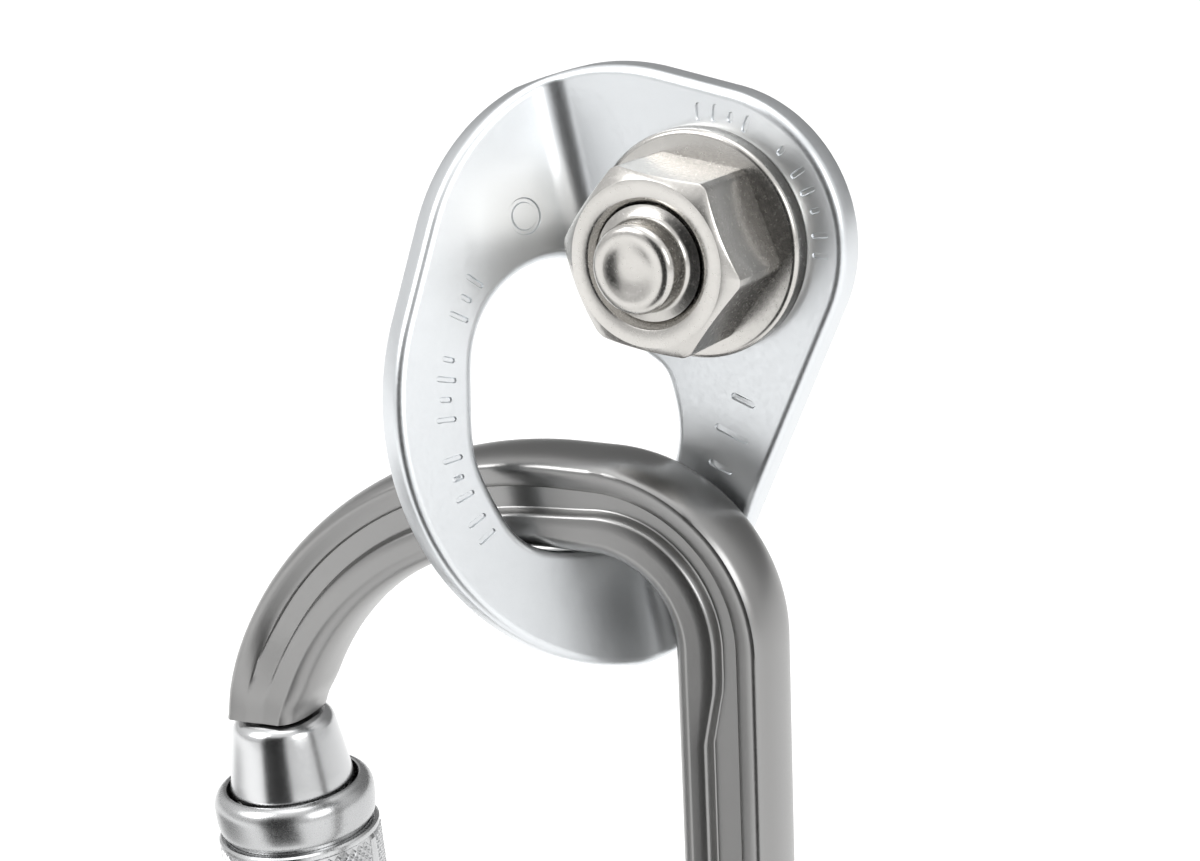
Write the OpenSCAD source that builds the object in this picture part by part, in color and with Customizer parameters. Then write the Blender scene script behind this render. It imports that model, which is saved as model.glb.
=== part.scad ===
// Climbing bolt anchor: bent hanger plate on an M12 bolt, with a locking carabiner in its eye.
// Origin on the bolt's axis in the wall plane, +Z up, the bolt's outer end towards -Y.

/* [Bolt] */
// diameter of the plain cylinder that stands for the thread
thread_d = 11.6; // [9.6:0.1:15.6]
// shank diameter in the rock
shank_d = 12; // [10:0.5:16]
// length of the shank behind the wall plane
shank_len = 13; // [8:1:90]
// how far the bolt's end stands in front of the wall plane
bolt_front = 19.2; // [16:0.1:30]
// diameter of the plain tip
tip_d = 9.2; // [7:0.1:12]
// length of the plain tip
tip_len = 3.5; // [2:0.1:6]

/* [Nut and washer] */
// washer diameter
washer_d = 24; // [20:0.5:30]
// washer thickness
washer_t = 2.6; // [2:0.1:4]
// washer hole diameter
washer_bore = 13; // [12.5:0.1:14]
// nut size across the flats
nut_af = 18; // [17:0.5:24]
// nut height
nut_h = 9.6; // [8:0.1:13]
// nut bore diameter over the thread
nut_bore = 11.7; // [11.7:0.02:11.8]
// direction of one corner of the nut
nut_corner = 55; // [0:1:60]
// diameter of the round face left by the nut's chamfer
nut_face_d = 17.2; // [16:0.1:18]

/* [Hanger plate] */
// plate thickness
plate_t = 4; // [3:0.1:5]
// hole for the bolt
plate_bore = 12.1; // [12:0.02:12.6]
// radius of the plate's edge round the bolt
boss_r = 16; // [14:0.5:20]
// radius of the top left corner
crown_r = 24.4; // [20:0.2:28]
// radius of the ring's left side
ring_r = 29.6; // [26:0.2:34]
// radius of the lower right corner
foot_r = 9; // [6:0.5:12]
// distance from the bolt's axis to where the bend starts
bend_start = 12.1; // [12:0.1:15]
// inside radius of the bend
bend_r = 3.75; // [2:0.25:8]
// angle the ring is bent out of the wall plane
bend_a = 65; // [30:1:85]
// lean of the bend line from the vertical
bend_lean = 14.7; // [0:0.1:25]
// gap kept between the eye and the bolt's axis
eye_keep = 15.2; // [13:0.1:18]

/* [Carabiner frame] */
// bar width in the carabiner's own plane
bar_w = 11; // [9:0.5:13]
// bar thickness across the plane
bar_t = 10; // [8:0.5:12]
// radius on the bar's long edges
bar_edge = 3.2; // [1:0.1:4.5]
// depth of the side grooves
groove_d = 1.5; // [0.5:0.1:2.5]
// centreline radius of the top corner over the spine
top_r = 14.2; // [10:0.1:20]
// centreline radius of the big shoulder over the gate
shoulder_r = 42.4; // [34:0.1:50]
// length of the short flat at the crest
crest_len = 4.5; // [0.5:0.5:12]
// length of the straight spine
spine_len = 75; // [60:1:90]
// centreline radius of the bottom corner under the spine
heel_r = 14; // [10:0.5:20]
// centreline radius of the bottom corner under the gate
toe_r = 18; // [12:0.5:22]

/* [Carabiner position] */
// how far the carabiner's plane stands off the wall plane under the bolt
clip_out = 10; // [10:0.1:16]
// turn of the carabiner's plane about the vertical
clip_turn = 5; // [0:0.5:12]
// lean of the spine in its own plane
clip_lean = 2.9; // [-5:0.1:8]

/* [Gate] */
// lean of the gate towards the spine
gate_lean = 3.75; // [0:0.05:8]
// distance from the hinge pin to the top of the gate
gate_len = 54; // [48:0.5:62]
// gate barrel diameter inside the sleeve
barrel_d = 10.4; // [9:0.1:12]
// gate head diameter at its foot
head_d = 15; // [13:0.1:17]
// gate head diameter at the top
head_top_d = 12.4; // [11:0.1:15]
// width of the slots for the nose and the hinge tongue
slot_w = 5; // [4:0.1:6]
// hinge pin diameter
rivet_d = 3; // [2.5:0.1:4]
// sleeve outside diameter
sleeve_d = 19.7; // [17:0.1:22]
// distance from the hinge pin to the foot of the sleeve
sleeve_foot = 8.4; // [7:0.1:12]
// distance from the hinge pin to the top of the knurled part
sleeve_top = 39.4; // [34:0.1:42]
// collar outside diameter
collar_d = 19.3; // [17:0.1:22]
// distance from the hinge pin to the top of the collar
collar_top = 45.2; // [42:0.1:48]

/* [Hidden] */
$fn = 96;
bar_h = bar_w / 2;
boss = [0, 0, boss_r];
crown = [-9.6, -7.1, crown_r];
ring = [-7.5, -18.6, ring_r];
foot = [-7.5, -18.6 - ring_r + foot_r, foot_r];
eye_top = [-16.5, -15.2, 11.6];
eye_mid = [-15.5, -21.5, 12.5];
eye_low = [-17.6, -27.5, 8.1];
eye_side = [-13, -27.4, 8.1];
bend_v = bend_r * tan(bend_a / 2);
bend_end = bend_start + 2 * bend_v;
shoulder_z = top_r - shoulder_r;
hinge_x = -41.4;
hinge_z = -71.5;
heel_x = top_r - heel_r;
heel_z = -spine_len;
toe_x = hinge_x + toe_r;
toe_z = heel_z - heel_r + toe_r;
clip_x = -7;
clip_z = -42;
head_foot = 44.6;
tongue_t = slot_w - 0.5;

// ---- flat shapes ----

// angle of the outside tangent's normal for two circles, on one side
function tangent_a(p, q, side) =
    atan2(q[1] - p[1], q[0] - p[0])
    + side * acos((p[2] - q[2]) / norm([q[0] - p[0], q[1] - p[1]]));

function on_circle(p, a) = [p[0] + p[2] * cos(a), p[1] + p[2] * sin(a)];

module disc(p) {
    translate([p[0], p[1]]) circle(p[2], $fn = 180);
}

// two circles and the straight band between their outside tangents
module link(p, q) {
    disc(p);
    disc(q);
    polygon([on_circle(p, tangent_a(p, q, 1)), on_circle(q, tangent_a(p, q, 1)),
             on_circle(q, tangent_a(p, q, -1)), on_circle(p, tangent_a(p, q, -1))]);
}

module eye_outline() {
    difference() {
        union() {
            link(eye_top, eye_mid);
            link(eye_mid, eye_low);
            link(eye_mid, eye_side);
            link(eye_low, eye_side);
        }
        circle(eye_keep);
    }
}

module plate_outline() {
    difference() {
        union() {
            link(boss, foot);
            intersection() {
                union() {
                    link(crown, boss);
                    link(crown, ring);
                }
                translate([-60, -20]) square([64, 60]);
            }
            intersection() {
                link(crown, ring);
                translate([-60, -60]) square([60 + ring[0], 70]);
            }
        }
        eye_outline();
        circle(d = plate_bore);
    }
}

// ---- hanger plate ----

// a point's place across and along the bend line
function across(p) = p[0] * cos(bend_lean) + p[1] * sin(bend_lean);
function along(p) = p[1] * cos(bend_lean) - p[0] * sin(bend_lean);

// where a circle crosses a line parallel to the bend, on the chosen side
function cross_at(p, x, side) =
    along(p) + side * sqrt(max(0, p[2] * p[2] - (x - across(p)) * (x - across(p))));

function eye_roof(x) = x > -eye_keep
    ? min(cross_at(eye_top, x, 1), -sqrt(eye_keep * eye_keep - x * x))
    : cross_at(eye_top, x, 1);

bend_steps = 8;
function bend_x(i) = -bend_start - (bend_end - bend_start) * i / bend_steps;
function bend_s(i) = (bend_r + plate_t / 2) * sin(bend_a * (i / bend_steps - 0.5));

// the bend's ends reach inside the flats, a hair under their faces and edges
tuck = 0.1;
tuck_a = 3;

module bend_mask(top, low) {
    last = bend_steps;
    polygon(concat([[bend_s(0) - 5, top[0] - tuck]],
                   [for (i = [0:last]) [bend_s(i), top[i] - tuck]],
                   [[bend_s(last) + 5, top[last] - tuck], [bend_s(last) + 5, low[last] + tuck]],
                   [for (i = [last:-1:0]) [bend_s(i), low[i] + tuck]],
                   [[bend_s(0) - 5, low[0] + tuck]]));
}

module bend_piece(top, low) {
    translate([-bend_start, -plate_t - bend_r, 0])
    intersection() {
        rotate([0, 0, 90 - tuck_a])
        rotate_extrude(angle = bend_a + 2 * tuck_a)
        translate([bend_r + 0.03, -60]) square([plate_t - 0.06, 90]);

        rotate([0, 0, bend_a / 2])
        rotate([90, 0, 0])
        translate([0, 0, -bend_r - plate_t - 1])
        linear_extrude(bend_r + plate_t + 2)
        mirror([1, 0])
        bend_mask(top, low);
    }
}

module hanger_plate() {
    color("silver")
    rotate([0, -bend_lean, 0]) {
        rotate([90, 0, 0])
        linear_extrude(plate_t)
        intersection() {
            rotate(-bend_lean) plate_outline();
            translate([-bend_start, -100]) square([100, 200]);
        }

        bend_piece([for (i = [0:bend_steps]) cross_at(crown, bend_x(i), 1)],
                   [for (i = [0:bend_steps]) eye_roof(bend_x(i))]);
        bend_piece([for (i = [0:bend_steps]) cross_at(eye_side, bend_x(i), -1)],
                   [for (i = [0:bend_steps]) cross_at(foot, bend_x(i), -1)]);

        translate([-bend_start, -plate_t - bend_r, 0])
        rotate([0, 0, bend_a])
        translate([0, plate_t + bend_r, 0])
        rotate([90, 0, 0])
        linear_extrude(plate_t)
        translate([bend_end, 0])
        intersection() {
            rotate(-bend_lean) plate_outline();
            translate([-bend_end - 100, -100]) square([100, 200]);
        }
    }
}

// ---- bolt, washer and nut ----

// turned round the bolt's axis: x is the radius, y the distance behind the wall plane
module turned() {
    rotate([-90, 0, 0]) rotate_extrude() children();
}

module anchor_stud() {
    r = shank_d / 2;
    color("darkgray")
    turned()
    polygon([[0, -bolt_front], [tip_d / 2 - 0.8, -bolt_front], [tip_d / 2, -bolt_front + 0.8],
             [tip_d / 2, -bolt_front + tip_len], [thread_d / 2 - 0.6, -bolt_front + tip_len],
             [thread_d / 2, -bolt_front + tip_len + 0.6], [thread_d / 2, 0.3], [r, 0.3],
             [r, shank_len - 0.8], [r - 0.8, shank_len], [0, shank_len]]);
}

module washer() {
    color("gainsboro")
    turned()
    polygon([[washer_bore / 2, -plate_t], [washer_d / 2, -plate_t],
             [washer_d / 2, -plate_t - washer_t + 0.5],
             [washer_d / 2 - 0.5, -plate_t - washer_t],
             [washer_bore / 2, -plate_t - washer_t]]);
}

module hex_nut() {
    back = plate_t + washer_t;
    reach = nut_af / sqrt(3);
    rise = (reach - nut_face_d / 2) * tan(30);
    color("gainsboro")
    difference() {
        intersection() {
            rotate([90, 0, 0])
            translate([0, 0, back])
            rotate(nut_corner)
            cylinder(h = nut_h, r = reach, $fn = 6);
            turned()
            polygon([[0, -back], [reach + 0.1, -back], [reach + 0.1, -back - nut_h + rise],
                     [nut_face_d / 2, -back - nut_h], [0, -back - nut_h]]);
        }
        turned()
        polygon([[0, -back + 1], [nut_bore / 2, -back + 1], [nut_bore / 2, -back - nut_h + 0.5],
                 [nut_bore / 2 + 0.5, -back - nut_h - 0.01], [0, -back - nut_h - 0.01]]);
    }
}

// ---- carabiner ----

// the carabiner's own plane: x towards the spine, z up, origin at the top corner's centre
module in_clip() {
    translate([0, -clip_out, 0])
    rotate([0, 0, clip_turn])
    translate([clip_x, 0, clip_z])
    rotate([0, -clip_lean, 0])
    children();
}

// the gate's axis: z from the hinge pin towards the nose
module in_gate() {
    in_clip()
    translate([hinge_x, 0, hinge_z])
    rotate([0, -gate_lean, 0])
    children();
}

// quarter turn of the bar's edge, as flats
function edge_pts(x, y, a) =
    [for (k = [0:3]) [x + bar_edge * cos(a + 30 * k), y + bar_edge * sin(a + 30 * k)]];

side_x = bar_h - bar_edge;
side_y = bar_t / 2 - bar_edge;

// the bar with a groove along both faces, nearer the inner side
module bar_section() {
    deep = bar_t / 2 - groove_d;
    polygon(concat(edge_pts(side_x, side_y, 0),
                   [[side_x - 0.4, bar_t / 2], [1, deep], [-1.8, deep], [-2.2, bar_t / 2]],
                   edge_pts(-side_x, side_y, 90), edge_pts(-side_x, -side_y, 180),
                   [[-2.2, -bar_t / 2], [-1.8, -deep], [1, -deep], [side_x - 0.4, -bar_t / 2]],
                   edge_pts(side_x, -side_y, 270)));
}

module bar_arc(x, z, r, a0, a1) {
    translate([x, 0, z])
    rotate([90, 0, 0])
    rotate([0, 0, a0])
    rotate_extrude(angle = a1 - a0, $fn = 240)
    translate([r, 0])
    children();
}

module flat_bar(x, z, len) {
    translate([x, 0, z])
    rotate([0, 90, 0])
    linear_extrude(len)
    children();
}

module frame_bars() {
    bar_arc(0, 0, top_r, 0, 90) bar_section();
    flat_bar(-crest_len, top_r, crest_len) mirror([1, 0]) bar_section();
    bar_arc(-crest_len, shoulder_z, shoulder_r, 90, 172) bar_section();
    translate([top_r, 0, -spine_len]) linear_extrude(spine_len) bar_section();
    bar_arc(heel_x, heel_z, heel_r, -90, 0) bar_section();
    flat_bar(toe_x, toe_z - toe_r, heel_x - toe_x) bar_section();
    bar_arc(toe_x, toe_z, toe_r, 270, 190) bar_section();
}

module carabiner_frame() {
    color("dimgray")
    in_clip()
    difference() {
        union() {
            difference() {
                frame_bars();
                translate([hinge_x, 10, hinge_z]) rotate([90, 0, 0]) cylinder(h = 20, r = barrel_d / 2 + 0.5);
                translate([hinge_x, 0, hinge_z])
                rotate([0, -gate_lean, 0])
                translate([-15, -15, gate_len - 14])
                cube([30, 30, 14.5]);
            }
            // hinge tongue
            translate([hinge_x, tongue_t / 2, hinge_z]) rotate([90, 0, 0]) cylinder(h = tongue_t, r = 4.4);
            translate([hinge_x - 3.9, -tongue_t / 2, hinge_z - 8]) cube([8.6, tongue_t, 8]);
            translate([hinge_x, 0, hinge_z])
            rotate([0, -gate_lean, 0]) {
                translate([0, tongue_t / 2, 0])
                rotate([90, 0, 0])
                linear_extrude(tongue_t)
                polygon([[-4.4, 0], [4.4, 0], [4.4, 3.2], [3.2, 4.4], [-3.2, 4.4], [-4.4, 3.2]]);
                // nose tongue
                translate([-2.6, -tongue_t / 2, gate_len - 3]) cube([5.2, tongue_t, 5]);
                translate([0, tongue_t / 2, gate_len - 3]) rotate([90, 0, 0]) cylinder(h = tongue_t, r = 2.9);
            }
        }
        translate([hinge_x, 10, hinge_z]) rotate([90, 0, 0]) cylinder(h = 20, d = rivet_d);
    }
}

module gate_rivet() {
    color("silver")
    in_gate()
    rotate([90, 0, 0]) {
        translate([0, 0, -5.3]) cylinder(h = 10.6, d = rivet_d);
        for (s = [-1, 1])
            translate([0, 0, s * 5.55 - 0.35]) cylinder(h = 0.7, d = 4.6);
    }
}

module gate_barrel() {
    r = barrel_d / 2;
    color("lightgray")
    in_gate()
    difference() {
        union() {
            rotate_extrude()
            polygon([[0, 0], [r, 0], [r, head_foot], [head_d / 2, head_foot],
                     [head_d / 2, head_foot + 1.2], [head_top_d / 2 + 0.1, gate_len - 1],
                     [head_top_d / 2 - 0.9, gate_len], [0, gate_len]]);
            intersection() {
                translate([0, r, 0]) rotate([90, 0, 0]) cylinder(h = 2 * r, r = r);
                translate([0, 0, -r - 1]) cylinder(h = r + 1, r = r);
            }
        }
        // hinge slot, spring bore and nose pocket
        translate([-10, -slot_w / 2, -10]) cube([20, slot_w, 15.6]);
        translate([0, 0, 5]) cylinder(h = 20, d = 5.4);
        translate([-12, -slot_w / 2, gate_len - 6.6]) cube([15.6, slot_w, 8]);
        translate([0, 10, 0]) rotate([90, 0, 0]) cylinder(h = 20, d = rivet_d + 0.1);
        translate([0, 0, 22]) rotate([0, -90, 0]) cylinder(h = 8, d = 2.4);
        // groove for the end ring
        translate([0, 0, 6.4])
        difference() {
            cylinder(h = 1.4, r = r + 1);
            translate([0, 0, -1]) cylinder(h = 4, r = r - 0.5);
        }
    }
}

module gate_plunger() {
    color("gray")
    in_gate()
    translate([0, 0, 4.7])
    rotate_extrude()
    polygon([[0, 0], [2, 0], [2.6, 0.6], [2.6, 3.4], [1.5, 3.4], [1.5, 5.4], [0, 5.4]]);
}

// a wound spring as level turns up the z axis, each joined to the next by a short post
module coil(r, wire, turns, h) {
    step = (h - wire) / (turns - 1);
    for (i = [0:turns - 1])
        translate([0, 0, wire / 2 + i * step])
        rotate_extrude()
        translate([r, 0])
        circle(d = wire);
    for (i = [0:turns - 2])
        rotate([0, 0, 180 * i])
        translate([r, 0, wire / 2 + i * step])
        cylinder(h = step, d = 0.8 * wire);
}

module gate_spring() {
    color("silver")
    in_gate()
    translate([0, 0, 8.4])
    coil(2.05, 0.7, 9, 16.2);
}

module track_pin() {
    color("gray")
    in_gate()
    translate([-2.9, 0, 22])
    rotate([0, -90, 0])
    cylinder(h = 5.2, d = 2.4);
}

module end_ring() {
    color("gray")
    in_gate()
    translate([0, 0, 6.4])
    difference() {
        cylinder(h = 1.4, r = 8.7);
        translate([0, 0, -1]) cylinder(h = 4, r = barrel_d / 2 - 0.5);
        translate([0, -1, -1]) cube([12, 2, 4]);
    }
}

module sleeve_guide() {
    color("gray")
    in_gate()
    difference() {
        translate([0, 0, 12])
        difference() {
            cylinder(h = 26.2, r = 6.8);
            translate([0, 0, -1]) cylinder(h = 30, r = barrel_d / 2 + 0.06);
        }
        translate([-10, -1.5, 16.6]) cube([10, 3, 7]);
    }
}

module sleeve_spring() {
    color("silver")
    in_gate()
    translate([0, 0, 38.6])
    coil(6.6, 0.9, 3, 5.6);
}

module sleeve_shell() {
    r = sleeve_d / 2;
    color("silver")
    in_gate()
    rotate_extrude()
    polygon([[6.86, sleeve_foot], [r - 0.7, sleeve_foot], [r, sleeve_foot + 0.7],
             [r, sleeve_top - 0.4], [r - 0.4, sleeve_top], [8.8, sleeve_top], [8.8, 34.8],
             [6.86, 34.8], [6.86, 28], [8.4, 28], [8.4, 16], [6.86, 16]]);
}

module sleeve_collar() {
    r = collar_d / 2;
    color("gainsboro")
    in_gate()
    rotate_extrude()
    polygon([[8, 34.8], [8.8, 34.8], [8.8, sleeve_top + 0.5], [r, sleeve_top + 0.5],
             [r, collar_top - 0.8], [r - 0.8, collar_top], [8, collar_top]]);
}

anchor_stud();
hanger_plate();
washer();
hex_nut();
carabiner_frame();
gate_rivet();
gate_barrel();
gate_plunger();
gate_spring();
track_pin();
end_ring();
sleeve_guide();
sleeve_spring();
sleeve_shell();
sleeve_collar();
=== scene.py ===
"""Looks of a climbing bolt anchor: a bent hanger plate on a bolt, with a locking carabiner in its eye.

Laid out as an add-on and run as a script. Lengths inside the builders are in millimetres, in the frame of the
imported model, and put() turns them into metres.
"""

from math import acos, atan2, cos, hypot, pi, radians, sin, tan

import bmesh
import bpy
import numpy as np
from bpy.props import FloatProperty, FloatVectorProperty, IntProperty, PointerProperty
from mathutils import Matrix, Vector
from mathutils.geometry import convex_hull_2d, delaunay_2d_cdt


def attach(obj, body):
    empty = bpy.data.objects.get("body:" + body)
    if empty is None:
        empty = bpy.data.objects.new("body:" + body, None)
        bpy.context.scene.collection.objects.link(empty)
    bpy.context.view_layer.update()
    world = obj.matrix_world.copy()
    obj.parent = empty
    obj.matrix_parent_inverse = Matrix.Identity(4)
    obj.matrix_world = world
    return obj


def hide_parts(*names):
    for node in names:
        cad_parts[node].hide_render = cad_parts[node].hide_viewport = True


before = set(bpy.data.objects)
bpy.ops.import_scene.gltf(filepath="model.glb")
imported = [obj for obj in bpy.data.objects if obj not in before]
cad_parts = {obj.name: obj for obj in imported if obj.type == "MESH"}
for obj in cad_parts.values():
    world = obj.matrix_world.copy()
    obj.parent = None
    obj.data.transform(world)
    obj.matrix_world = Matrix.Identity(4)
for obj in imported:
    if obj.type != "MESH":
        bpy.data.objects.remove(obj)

bl_info = {
    "name": "Bolt Anchor with Locking Carabiner",
    "version": (1, 0, 0),
    "blender": (4, 5, 0),
    "location": "View3D > Sidebar > Anchor",
    "description": "Builds the visible pieces, the finishes and the stage of a climbing bolt anchor",
    "category": "Object",
}

MM = 0.001
SAME_POINT, NO_LENGTH = 2e-7, 1e-7


# ---- settings ----

class PlateSettings(bpy.types.PropertyGroup):
    thickness: FloatProperty(name="Thickness", description="Plate thickness in mm", default=4.0, min=3.0, max=5.0)
    edge: FloatProperty(name="Edge Radius", description="Rounding of the plate's edges in mm",
                        default=0.95, min=0.2, max=1.6)
    bend: FloatProperty(name="Bend", description="Angle of the ring out of the wall plane",
                        default=radians(65), subtype="ANGLE", unit="ROTATION")
    bend_radius: FloatProperty(name="Bend Radius", description="Inside radius of the bend in mm",
                               default=3.75, min=1.0, max=8.0)
    steel: FloatVectorProperty(name="Steel", description="Colour of the plate's steel",
                               subtype="COLOR", size=3, min=0, max=1, default=(0.67, 0.69, 0.705))


class BoltSettings(bpy.types.PropertyGroup):
    pitch: FloatProperty(name="Thread Pitch", description="Distance between thread crests in mm",
                         default=1.75, min=1.0, max=2.5)
    thread_depth: FloatProperty(name="Thread Depth", description="Depth of the thread in mm",
                                default=0.75, min=0.2, max=1.2)
    steel: FloatVectorProperty(name="Steel", description="Colour of the bolt, washer and nut",
                               subtype="COLOR", size=3, min=0, max=1, default=(0.56, 0.545, 0.52))


class FrameSettings(bpy.types.PropertyGroup):
    groove: FloatProperty(name="Groove Depth", description="Depth of the side grooves in mm",
                          default=1.4, min=0.4, max=2.0)
    fade: FloatProperty(name="Groove Fade", description="Length over which a groove runs out in mm",
                        default=13.0, min=4.0, max=30.0)
    grey: FloatVectorProperty(name="Grey", description="Colour of the anodised frame",
                              subtype="COLOR", size=3, min=0, max=1, default=(0.28, 0.278, 0.275))


class SleeveSettings(bpy.types.PropertyGroup):
    ribs: IntProperty(name="Ribs", description="Smooth ribs round the sleeve", default=6, min=0, max=12)
    across: IntProperty(name="Diamonds Across", description="Knurl diamonds between two ribs",
                        default=8, min=3, max=14)
    rise: FloatProperty(name="Knurl Rise", description="Height of the knurl's diamonds in mm",
                        default=0.34, min=0.1, max=0.6)
    bright: FloatVectorProperty(name="Bright", description="Colour of the sleeve and gate",
                                subtype="COLOR", size=3, min=0, max=1, default=(0.58, 0.585, 0.59))


class StageSettings(bpy.types.PropertyGroup):
    floor_drop: FloatProperty(name="Floor Drop", description="Distance of the floor under the bolt",
                              default=0.26, min=0.15, unit="LENGTH", subtype="DISTANCE")
    lens: FloatProperty(name="Lens", description="Focal length in mm", default=67.09, min=20, max=200)
    sky: FloatProperty(name="Studio Brightness", description="Brightness of the white studio",
                       default=1.0, min=0.1, max=4)
    gap: FloatProperty(name="Dark Gap", description="Brightness of the gap between the two soft boxes",
                       default=0.02, min=0, max=1)
    # Shade: brightness of the painted shadow in the floor's colour beside the anchor, seen only in reflections and
    # light
    shade: FloatProperty(name="Shade", description="Brightness of the floor in the soft shade beside the anchor",
                         default=0.3, min=0, max=1)
    behind: FloatProperty(name="Back Wall", description="Brightness of the studio behind the anchor",
                          default=0.32, min=0, max=1)


# ---- small tools ----

def put(name, verts, faces, mat, crease=35.0, smooth=True):
    """A mesh object from millimetre points, with its faces turned outwards."""
    mesh = bpy.data.meshes.new(name)
    mesh.from_pydata([(x * MM, y * MM, z * MM) for x, y, z in verts], [], faces)
    bm = bmesh.new()
    bm.from_mesh(mesh)
    bmesh.ops.remove_doubles(bm, verts=bm.verts, dist=SAME_POINT)
    bmesh.ops.dissolve_degenerate(bm, edges=bm.edges, dist=NO_LENGTH)
    bmesh.ops.recalc_face_normals(bm, faces=bm.faces)
    bm.to_mesh(mesh)
    bm.free()
    obj = bpy.data.objects.new(name, mesh)
    bpy.context.scene.collection.objects.link(obj)
    if smooth:
        mesh.shade_smooth()
        mesh.set_sharp_from_angle(angle=radians(crease))
    mesh.materials.append(mat)
    return obj


def bake(obj):
    """The object's modifiers, made part of a plain mesh."""
    bpy.context.view_layer.update()
    seen = obj.evaluated_get(bpy.context.evaluated_depsgraph_get())
    mesh = bpy.data.meshes.new_from_object(seen)
    obj.modifiers.clear()
    obj.data = mesh
    return obj


def join(name, parts):
    """Several objects as one piece."""
    mesh = bpy.data.meshes.new(name)
    bm = bmesh.new()
    mats = []
    for part in parts:
        own = part.data.copy()
        for m in own.materials:
            if m not in mats:
                mats.append(m)
        remap = [mats.index(m) for m in own.materials]
        for poly in own.polygons:
            poly.material_index = remap[poly.material_index]
        bm.from_mesh(own)
        bpy.data.meshes.remove(own)
    bm.to_mesh(mesh)
    bm.free()
    for m in mats:
        mesh.materials.append(m)
    for part in parts:
        bpy.data.objects.remove(part)
    obj = bpy.data.objects.new(name, mesh)
    bpy.context.scene.collection.objects.link(obj)
    return obj


def skin(rows, close_rows=False, close_cols=True, start=0):
    """Quads between neighbouring rows of equally many points."""
    count, width = len(rows), len(rows[0])
    verts = [p for row in rows for p in row]
    faces = []
    for i in range(count if close_rows else count - 1):
        j = (i + 1) % count
        for k in range(width if close_cols else width - 1):
            n = (k + 1) % width
            faces.append((start + i * width + k, start + i * width + n, start + j * width + n, start + j * width + k))
    return verts, faces


def lathe(name, profile, place, mat, steps=96, radius=None, crease=35.0):
    """A turned piece from (radius, height) points, from one end to the other.

    radius(r, h, angle) may change a point's radius. A profile that stays off the axis closes on itself.
    """
    rows = []
    for r, h in profile:
        row = []
        for k in range(steps):
            a = 2 * pi * k / steps
            rr = radius(r, h, a) if radius else r
            row.append(place @ Vector((rr * cos(a), rr * sin(a), h)))
        rows.append(row)
    closed = profile[0][0] > 1e-6 and profile[-1][0] > 1e-6
    verts, faces = skin(rows, close_rows=closed)
    return put(name, verts, faces, mat, crease)


def slab(name, outline, y0, y1, place, mat, edge=0.3):
    """A flat piece: outline in x and z, between two y planes, with chamfered rims."""
    pts = np.array(outline, float)
    nxt, prv = np.roll(pts, -1, 0), np.roll(pts, 1, 0)
    t = nxt - prv
    t /= np.linalg.norm(t, axis=1)[:, None]
    area = 0.5 * np.sum(pts[:, 0] * nxt[:, 1] - nxt[:, 0] * pts[:, 1])
    n = np.stack([t[:, 1], -t[:, 0]], 1) * (1 if area > 0 else -1)
    rows = []
    for inset, y in ((edge, y0), (0, y0 + edge), (0, y1 - edge), (edge, y1)):
        rows.append([place @ Vector((p[0], y, p[1])) for p in pts - n * inset])
    verts, faces = skin(rows)
    faces += [tuple(range(len(pts))), tuple(range(3 * len(pts), 4 * len(pts)))]
    return put(name, verts, faces, mat, 30)


def smoothstep(x, a, b):
    t = min(1.0, max(0.0, (x - a) / (b - a)))
    return t * t * (3 - 2 * t)


# ---- finishes ----

RELIEF = 0.00006


def nodes_of(mat):
    mat.use_nodes = True
    tree = mat.node_tree
    tree.nodes.clear()
    out = tree.nodes.new("ShaderNodeOutputMaterial")
    shade = tree.nodes.new("ShaderNodeBsdfPrincipled")
    tree.links.new(shade.outputs["BSDF"], out.inputs["Surface"])
    return tree, shade


def metal(name, colour, rough, spread, grain, bump, mottle=60.0, shade_mix=0.12, metallic=1.0):
    """A metal finish: slow changes of tone, a fine grain in the gloss and a faint relief."""
    mat = bpy.data.materials.new(name)
    tree, shade = nodes_of(mat)
    new, link = tree.nodes.new, tree.links.new
    coord = new("ShaderNodeTexCoord").outputs["Object"]
    slow = new("ShaderNodeTexNoise")
    slow.inputs["Scale"].default_value = mottle
    slow.inputs["Detail"].default_value = 5
    fine = new("ShaderNodeTexNoise")
    fine.inputs["Scale"].default_value = grain
    fine.inputs["Detail"].default_value = 4
    fine.inputs["Roughness"].default_value = 0.65
    link(coord, slow.inputs["Vector"])
    link(coord, fine.inputs["Vector"])
    ramp = new("ShaderNodeValToRGB")
    low = tuple(c * (1 - shade_mix) for c in colour)
    ramp.color_ramp.elements[0].position = 0.3
    ramp.color_ramp.elements[0].color = (*low, 1)
    ramp.color_ramp.elements[1].position = 0.7
    ramp.color_ramp.elements[1].color = (*colour, 1)
    blend = new("ShaderNodeMix")
    blend.data_type = "FLOAT"
    blend.inputs["Factor"].default_value = 0.35
    link(slow.outputs["Fac"], blend.inputs["A"])
    link(fine.outputs["Fac"], blend.inputs["B"])
    link(blend.outputs["Result"], ramp.inputs["Fac"])
    link(ramp.outputs["Color"], shade.inputs["Base Color"])
    gloss = new("ShaderNodeMapRange")
    gloss.inputs["From Min"].default_value = 0.3
    gloss.inputs["From Max"].default_value = 0.7
    gloss.inputs["To Min"].default_value = rough - spread
    gloss.inputs["To Max"].default_value = rough + spread
    link(fine.outputs["Fac"], gloss.inputs["Value"])
    link(gloss.outputs["Result"], shade.inputs["Roughness"])
    relief = new("ShaderNodeBump")
    relief.inputs["Strength"].default_value = bump
    relief.inputs["Distance"].default_value = RELIEF
    link(fine.outputs["Fac"], relief.inputs["Height"])
    link(relief.outputs["Normal"], shade.inputs["Normal"])
    shade.inputs["Metallic"].default_value = metallic
    return mat


FINISHES = {}


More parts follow.
